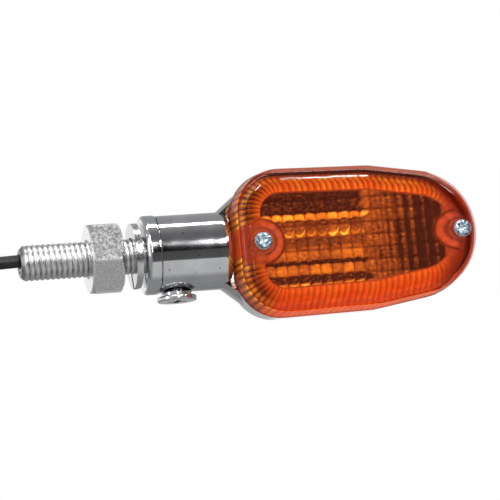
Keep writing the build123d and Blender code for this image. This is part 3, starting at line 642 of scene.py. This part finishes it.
def boss_shade(x, z):
    """Painted shade and light on each boss: dark steps, a bright ring and faint spokes, by distance
    from its edge.
    """
    distance = boss_distance(x, z) / MM
    shade = float(np.interp(distance, BOSS_STEPS, BOSS_SHADES))
    inward = x - SCREW_XS[0] if x < SHOULDER_X else SCREW_XS[1] - x
    shade = 1 + (shade - 1) * clamp(0.55 + inward / (4 * MM))
    if distance > 0:
        return shade
    spoke = math.atan2(z, inward)
    uneven = noise.noise((3 * math.cos(spoke), 3 * math.sin(spoke), 0.5 * distance))
    return shade * (1 + 0.45 * uneven)


def rim_profile():
    """Rows of (inset, y, how far along the ribbed slope).

    They run from the lip at the front of the wall, down the wall's inside, across the strip at
    its foot, and up the ribs to the prisms.
    """
    profile = [
        (2.2 * MM, lens_low.y + 1.5 * MM, 0.0),
        (1.2 * MM, lens_low.y + 2.6 * MM, 0.0),
        (LIP_INSET, lens_low.y + 4.2 * MM, 0.0),
        (0.3 * MM, STRIP_Y, 0.0),
        (1.2 * MM, STRIP_Y, 0.0),
    ]
    for k in range(RIM_STEPS + 1):
        t = k / RIM_STEPS
        inset = RIM_START + (RIM - RIM_START) * t
        rise = math.sin(math.pi / 2 * min(1.0, t * 1.12))
        profile.append((inset, RIM_FOOT_Y + (FACE_Y - RIM_FOOT_Y) * rise, t))
    return profile


def liner_inset(inset, nx):
    """The wall's lip reaches far in only round the tip, where nothing else backs it."""
    round_tip = clamp((nx - 0.25) * 3)
    return min(inset, LIP_INSET + (inset - LIP_INSET) * round_tip)


def tip_red(x):
    """0 to 1 where the plain plastic reddens towards the tip."""
    return clamp((x - TIP_RED_X) / (5 * MM))


def rib_colour(across, t, ends, low, tone):
    """A rib's colour at a place across it and along it, with painted shade and a painted glint.

    ends is 1 at the stem end, and low is 1 under the lamp, where the ribs are plainer.
    """
    gap = 1 - abs(math.cos(math.pi * across)) ** (1.3 + 1.2 * ends)
    crest = ORANGE + (AMBER - ORANGE) * (0.10 + 0.45 * tone) * (1 - 0.55 * low)
    # painted shade: the grooves darker than the crests, and both darker still at the stem end
    groove = ORANGE * (0.46 + 0.26 * low)
    crest = crest * (1 - 0.70 * ends * clamp(1.3 - 1.1 * t))
    groove = groove + (DEEP - groove) * ends * clamp(1.7 - 2.0 * t)
    groove = groove + (ORANGE * 0.8 - groove) * clamp((t - 0.6) * 2.5)
    colour = crest + (groove - crest) * gap
    # a painted yellow glint near each rib's outer end
    tip = clamp(1.5 - abs(t - 0.17) / 0.10) * (1 - gap) ** 0.7
    tip *= (0.30 + 0.70 * tone) * (0.5 + 0.5 * ends) * (1 - 0.8 * low * (1 - ends))
    return colour + (YELLOW - colour) * tip


def rim_colour(x, z, t, nx, nz, across, tone):
    """The rim's colour: ribs, plain near the bosses and dark red round the tip."""
    ends = clamp((-nx - 0.2) * 2.0)
    low = clamp(-nz * 2)
    colour = rib_colour(across, t, ends, low, tone)
    calm = PLAIN + (DARK_RED - PLAIN) * tip_red(x) * (1 - 0.45 * low)
    colour = colour + (calm - colour) * (1 - rib_strength(x, z, nx))
    colour = colour * (1 + 0.16 * ripple(x, z, 2.5 * MM, 0.9 * MM, 9.0))
    return colour * boss_shade(x, z)


def rib_strength(x, z, nx):
    """1 where the rim is ribbed, 0 on its plain stretches."""
    strength = clamp(boss_distance(x, z) / (0.8 * MM)) * clamp((RIBS_END_X - x) / (6 * MM))
    if nx < -0.5:
        strength *= clamp((abs(z) - PLAIN_BAND) / (0.6 * MM))
    return strength


def strip_colour(nx, nz, shade):
    """The wall's inside and foot: mauve brown on top, a painted reflection, dark red round the tip,
    else orange; shade is painted shade.
    """
    colour = STRIP_LOW + (STRIP_TOP_REFLECTION - STRIP_LOW) * clamp(0.1 + 1.3 * nz)
    colour = colour + (DARK_RED - colour) * clamp((nx - 0.35) * 2.5)
    return colour * shade


def rim_rows():
    """The lip and strip inside the wall, and the ribbed slope from its foot to the prisms."""
    cx, cz, r, nx, nz = outline_stations()
    rows, tints, glows = [], [], []
    rib_tones = [random.random() for _ in range(len(cx) // RIM_COLUMNS_PER_RIB)]
    for k, (inset, y, t) in enumerate(rim_profile()):
        row, tint, glow = [], [], []
        for i in range(len(cx)):
            reach = r[i] - (liner_inset(inset, nx[i]) if k < LIP_ROWS else inset)
            x, z = cx[i] + nx[i] * reach, cz[i] + nz[i] * reach
            across = (i % RIM_COLUMNS_PER_RIB) / RIM_COLUMNS_PER_RIB
            tone = rib_tones[i // RIM_COLUMNS_PER_RIB]
            if k < STRIP_ROWS:
                row.append((x, y, z))
                colour = rim_colour(x, z, STRIP_RIB_PLACES[k], nx[i], nz[i], across, tone)
                plain = strip_colour(nx[i], nz[i], STRIP_SHADES[k])
                plain = plain * (1 + 0.25 * ripple(cx[i] + z, cz[i] + x, 1.6 * MM, 1.6 * MM, k))
                colour = colour + (plain - colour) * clamp(max(nx[i] - 0.2, nz[i] - 0.5) * 3)
            else:
                gap = 1 - abs(math.cos(math.pi * across)) ** 1.5
                depth = RIB_DEPTH * gap * rib_strength(x, z, nx[i])
                depth *= min(1.0, 4 * t + 0.2) * clamp((1 - t) * 10)
                row.append((x - nx[i] * depth * 0.5, y + depth * 0.85, z - nz[i] * depth * 0.5))
                colour = rim_colour(x, z, t, nx[i], nz[i], across, tone)
            tint.append(np.minimum(colour * TINT, 1.0))
            glow.append(colour * PAINTED_GLOW)
        rows.append(row)
        tints.append(tint)
        glows.append(glow)
    return rows, tints, glows


def ripple(x, z, size_x, size_z, seed):
    """Smooth unevenness from -1 to 1, with features of the given size."""
    return noise.noise((x / size_x, z / size_z, seed))


def band_light(x, z, fu, tone):
    """The painted bands of the mirror's light near the stem end, bent a little by each prism, with a
    painted glint in its lap.
    """
    sag = (2 * fu - 1) ** 2 - 0.4
    height = z / MM + 0.35 * sag + 0.35 * ripple(x, z, 1.8 * MM, 1.2 * MM, 3.0)
    light = float(np.interp(height, [b[0] for b in BAND_LIGHT], [b[1] for b in BAND_LIGHT]))
    for floor_z, reach, strength in GLINT_ROWS:
        rise = height - floor_z - 1.3 * reach * (2 * fu - 0.8) ** 2
        light += strength * clamp(1 - abs(rise - 0.35) / 0.45) * (0.5 + 0.5 * tone)
    return light


def column_light(x, z, tone, column_tone, row_tone):
    """The prisms towards the tip: painted orange brown light, with painted shade in the gaps between
    columns.
    """
    far = clamp((x - 64 * MM) / (14 * MM))
    light = 0.32 + 0.14 * tone - 0.24 * far
    beside = (x / PRISM_WIDTH + 0.35 * column_tone) % 1.0
    gap = clamp(1.2 - abs(beside - 0.5) / (0.14 + 0.22 * far))
    light -= gap * (0.13 + 0.36 * far) * (0.65 + 0.35 * (row_tone > 0.4))
    return light + 0.09 * ripple(x, z, 1.1 * MM, 2.2 * MM, 5.0)


def prism_light(x, z, fu, fv, tone, column_tone, row_tone):
    """How brightly a point of a prism shows what is behind it, about 0 to 1."""
    end_x = BANDS_END_X + 3.5 * MM * ripple(0, z, 1, 2.6 * MM, 1.0)
    bands = clamp((end_x - x) / (0.9 * MM))
    light = column_light(x, z, tone, column_tone, row_tone)
    light += (band_light(x, z, fu, tone) * (0.60 + 0.30 * tone) - light) * bands
    # painted shade low in each prism towards the tip
    light *= 1 - 0.14 * (1 - bands) * clamp(1.5 - 5 * fv)
    # a small painted glint in each prism
    speck = clamp(1 - math.hypot((fu - 0.62) / 0.13, (fv - 0.78) / 0.11))
    light += (0.50 - 0.15 * bands) * speck * (0.4 + 0.6 * tone)
    light += 0.16 * ripple(x, z, 1.3 * MM, 0.7 * MM, 11.0)
    return light + 0.14 * ripple(x, z, 0.6 * MM, 0.45 * MM, 7.0)


def prism_colour(light):
    """The plastic's colour for that much light."""
    stops = ((0.05, DEEP), (0.38, BROWN), (0.62, ORANGE * 0.4 + AMBER * 0.4), (0.85, AMBER),
             (1.1, YELLOW))
    places = [place for place, _ in stops]
    return np.array([np.interp(light, places, [c[k] for _, c in stops]) for k in range(3)])


def prism_rows(edge):
    """The prism panel inside the rim: rows and columns of pillows, plain at the bosses."""
    upper = sorted((x, z) for x, _, z in edge if z >= 0)
    xs = np.array([p[0] for p in upper])
    zs = np.array([p[1] for p in upper])
    rows, tints, glows = [], [], []
    tones = {}
    first_x, last_x = xs[0] + 0.02 * MM, xs[-1] - 0.02 * MM
    for i in range(PRISM_COLUMNS + 1):
        x = first_x + (last_x - first_x) * i / PRISM_COLUMNS
        half = float(np.interp(x, xs, zs)) + 0.1 * MM
        row, tint, glow = [], [], []
        for j in range(PRISM_ROWS + 1):
            z = half * (2 * j / PRISM_ROWS - 1)
            u, v = (x - first_x) / PRISM_WIDTH, (z - PRISM_SHIFT) / PRISM_HEIGHT + 50
            key = (int(u), int(v))
            tone = tones.setdefault(key, random.random())
            column_tone = tones.setdefault(key[0], random.random())
            row_tone = tones.setdefault(-key[1], random.random())
            fu, fv = u % 1.0, v % 1.0
            pillow = (1 - (2 * fu - 1) ** 4) * (1 - (2 * fv - 1) ** 4)
            plain = clamp(boss_distance(x, z) / (0.4 * MM))
            plain *= clamp((PRISM_END_X - x) / (0.3 * MM))
            plain *= clamp((half - 0.3 * MM - abs(z)) / (0.3 * MM))
            row.append((x, FACE_Y + PRISM_DEPTH * (1 - pillow) * plain, z))
            light = prism_light(x, z, fu, fv, tone, column_tone, row_tone)
            # painted shade towards each pillow's edges
            light *= 0.45 + 0.55 * clamp(pillow * 2.0)
            calm = PLAIN + (DARK_RED - PLAIN) * 0.4 * tip_red(x)
            colour = calm + (prism_colour(light) - calm) * plain
            colour = colour * boss_shade(x, z)
            tint.append(np.minimum(colour * TINT, 1.0))
            glow.append(colour * PAINTED_GLOW)
        rows.append(row)
        tints.append(tint)
        glows.append(glow)
    return rows, tints, glows


def amber_shell():
    """The lens's glossy outer skin: clearest in front, and more amber on its wall and edge."""
    material, tree, shader = start_material("amber_shell")
    drift = noise_field(tree, 120)
    facing = tree.nodes.new("ShaderNodeMath")
    facing.operation = "ABSOLUTE"
    tree.links.new(coordinates(tree, "Normal")["Y"], facing.inputs[0])
    front = ramp(tree, drift, [(0.3, (0.08, 0.006, 0.001)), (0.7, (0.11, 0.010, 0.002))])
    wall = ramp(tree, drift, [(0.3, (0.38, 0.028, 0.003)), (0.7, (0.48, 0.040, 0.004))])
    wallness = spread(tree, facing.outputs["Value"], 1, 0, 0.6, 0.95)
    tree.links.new(mixed(tree, wallness, front, wall), shader.inputs["Base Color"])
    body = ramp(tree, facing.outputs["Value"], [
        (0.0, grey(0.34)), (0.15, grey(0.34)), (0.35, grey(0.55)), (0.6, grey(0.50)),
        (0.86, grey(0.18)), (1.0, grey(0.18))])
    tree.links.new(body, shader.inputs["Alpha"])
    tree.links.new(spread(tree, drift, 0.02, 0.05), shader.inputs["Roughness"])
    shader.inputs["IOR"].default_value = 1.7
    return material


def amber_relief():
    """The moulded inner face, coloured point by point with painted light and shade, with a faint
    drift, and glowing with painted light.
    """
    material, tree, shader = start_material("amber_relief")
    tint = tree.nodes.new("ShaderNodeAttribute")
    tint.attribute_name = "tint"
    glow = tree.nodes.new("ShaderNodeAttribute")
    glow.attribute_name = "glow"
    drift = ramp(tree, noise_field(tree, 500), [(0.3, (0.78, 0.72, 0.7)), (0.7, (1, 1, 1))])
    tree.links.new(multiplied(tree, tint.outputs["Color"], drift), shader.inputs["Base Color"])
    # the glow is painted light: the relief gives off light though it is no lamp
    tree.links.new(glow.outputs["Color"], shader.inputs["Emission Color"])
    shader.inputs["Emission Strength"].default_value = 1.0
    tree.links.new(spread(tree, noise_field(tree, 800), 0.35, 0.55), shader.inputs["Roughness"])
    shader.inputs["Specular IOR Level"].default_value = 0.04
    return material


lens = nodes["lens"]
lens.data.materials.clear()
lens.data.materials.append(amber_shell())
relief = amber_relief()
rim, rim_tints, rim_glows = rim_rows()
prisms, prism_tints, prism_glows = prism_rows(rim[-1])
rim_mesh = grid_mesh("lens_rim_ribs", rim, wrap=True, tint=rim_tints, glow=rim_glows)
prism_mesh = grid_mesh("lens_prisms", prisms, tint=prism_tints, glow=prism_glows)
new_piece("lens_rim_ribs", rim_mesh, "lens_cover", relief)
new_piece("lens_prisms", prism_mesh, "lens_cover", relief)


# --- stage: floor, world and lights ---------------------------------------------------------
FLOOR_Z = -0.16
FLOOR_HALF = 20.0
SCREW_GLINT_Y = -0.69


def add_floor():
    """A plain pale floor that gives off a little light, and that gloss doesn't show."""
    mesh = bpy.data.meshes.new("floor")
    corners = [(-FLOOR_HALF, -FLOOR_HALF, FLOOR_Z), (FLOOR_HALF, -FLOOR_HALF, FLOOR_Z),
               (FLOOR_HALF, FLOOR_HALF, FLOOR_Z), (-FLOOR_HALF, FLOOR_HALF, FLOOR_Z)]
    mesh.from_pydata(corners, [], [(0, 1, 2, 3)])
    floor = bpy.data.objects.new("floor", mesh)
    bpy.context.scene.collection.objects.link(floor)
    material, tree, shader = start_material("floor")
    drift = noise_field(tree, 6)
    tree.links.new(ramp(tree, drift, [(0.3, (0.80, 0.80, 0.80)), (0.7, (0.84, 0.84, 0.84))]),
                   shader.inputs["Base Color"])
    shader.inputs["Roughness"].default_value = 0.8
    shader.inputs["Emission Color"].default_value = (1, 1, 1, 1)
    shader.inputs["Emission Strength"].default_value = 0.28
    mesh.materials.append(material)
    floor.visible_glossy = False


def add_world():
    """White where the camera sees it.

    The lamp reflects a pale backdrop behind it, grey to its left, and in front of it a dark room
    over a pale, low table edge.
    """
    world = bpy.data.worlds.new("studio")
    bpy.context.scene.world = world
    world.use_nodes = True
    tree = world.node_tree
    sky = next(n for n in tree.nodes if n.type == "BACKGROUND")
    place = tree.nodes.new("ShaderNodeTexCoord")
    split = tree.nodes.new("ShaderNodeSeparateXYZ")
    tree.links.new(place.outputs["Generated"], split.inputs["Vector"])
    uneven = tree.nodes.new("ShaderNodeTexNoise")
    uneven.inputs["Scale"].default_value = 5.0
    uneven.inputs["Detail"].default_value = 3.0
    tree.links.new(place.outputs["Generated"], uneven.inputs["Vector"])
    drift = tree.nodes.new("ShaderNodeMath")
    drift.operation = "MULTIPLY_ADD"
    drift.inputs[1].default_value = 0.06
    tree.links.new(uneven.outputs["Fac"], drift.inputs[0])
    tree.links.new(spread(tree, split.outputs["Z"], -0.03, 0.97, -1, 1), drift.inputs[2])
    level = spread(tree, split.outputs["Z"], 0, 1, -1, 1)
    back = ramp(tree, level, [(0.0, grey(0.30)), (0.25, grey(0.26)), (0.46, grey(0.5)),
                              (0.5, grey(1)), (0.62, grey(1)), (0.72, grey(0.42)),
                              (1.0, grey(0.32))])
    front = ramp(tree, drift.outputs["Value"], [
        (0.0, grey(0.42)), (0.04, grey(0.55)), (0.262, grey(0.60)), (0.272, grey(0.10)),
        (0.49, grey(0.075)), (0.51, grey(0.004)), (0.60, grey(0.004)), (0.66, grey(0.07)),
        (0.90, grey(0.16)), (1.0, grey(0.30))])
    left = ramp(tree, level, [(0.0, grey(0.30)), (0.35, grey(0.34)), (0.5, grey(0.42)),
                              (0.7, grey(0.50)), (1.0, grey(0.4))])
    leftward = spread(tree, split.outputs["X"], 1, 0, -0.45, 0.0)
    backward = spread(tree, split.outputs["Y"], 0, 1, -0.35, -0.05)
    front = mixed(tree, leftward, front, left)
    white = tree.nodes.new("ShaderNodeRGB")
    white.outputs["Color"].default_value = (1, 1, 1, 1)
    seen = tree.nodes.new("ShaderNodeLightPath")
    lit = mixed(tree, backward, front, back)
    tree.links.new(mixed(tree, seen.outputs["Is Camera Ray"], lit, white.outputs["Color"]),
                   sky.inputs["Color"])
    sky.inputs["Strength"].default_value = 1.0


def add_light(name, place, aim, size, power):
    """A soft rectangular light that the camera itself doesn't see."""
    data = bpy.data.lights.new(name, "AREA")
    data.shape = "RECTANGLE"
    data.size, data.size_y = size
    data.energy = power
    light = bpy.data.objects.new(name, data)
    light.location = place
    light.rotation_euler = (Vector(aim) - Vector(place)).to_track_quat("-Z", "Y").to_euler()
    light.visible_camera = False
    bpy.context.scene.collection.objects.link(light)


add_floor()
add_world()
add_light("overhead_strip", (0.04, -0.06, 0.7), (0.04, 0, 0), (1.0, 0.10), 2.6)
add_light("rim_glint", (0.236, -0.645, 0.244), (0.05, 0, 0.02), (0.052, 0.13), 1.3)
add_light("corner_glint", (0.065, -0.60, 0.25), (0.03, 0, 0.015), (0.06, 0.09), 0.9)
add_light("tip_glint", (0.47, -0.50, 0.32), (0.09, 0, 0.01), (0.08, 0.12), 1.2)
add_light("left_window", (-0.01, -0.69, 0.10), (0.03, 0, 0), (0.03, 0.20), 0.22)
# a small light for each screw, where its flat face mirrors it into the first view
beyond = (SCREW_GLINT_Y - lens_low.y) / (VIEW_POINT.y - lens_low.y)
for number, screw_x in enumerate(SCREW_XS):
    glint = (screw_x - (VIEW_POINT.x - screw_x) * beyond, SCREW_GLINT_Y, -VIEW_POINT.z * beyond)
    add_light(f"screw_glint_{number}", glint, (screw_x, 0, 0), (0.013, 0.013), 0.0007)
add_light("key_soft", (-0.35, -0.75, 0.65), (0.04, 0, 0), (0.45, 0.45), 3)
add_light("side_fill", (-0.9, -0.35, 0.25), (0.03, 0, 0), (0.2, 0.7), 1.5)
bpy.context.scene.view_settings.view_transform = "Standard"
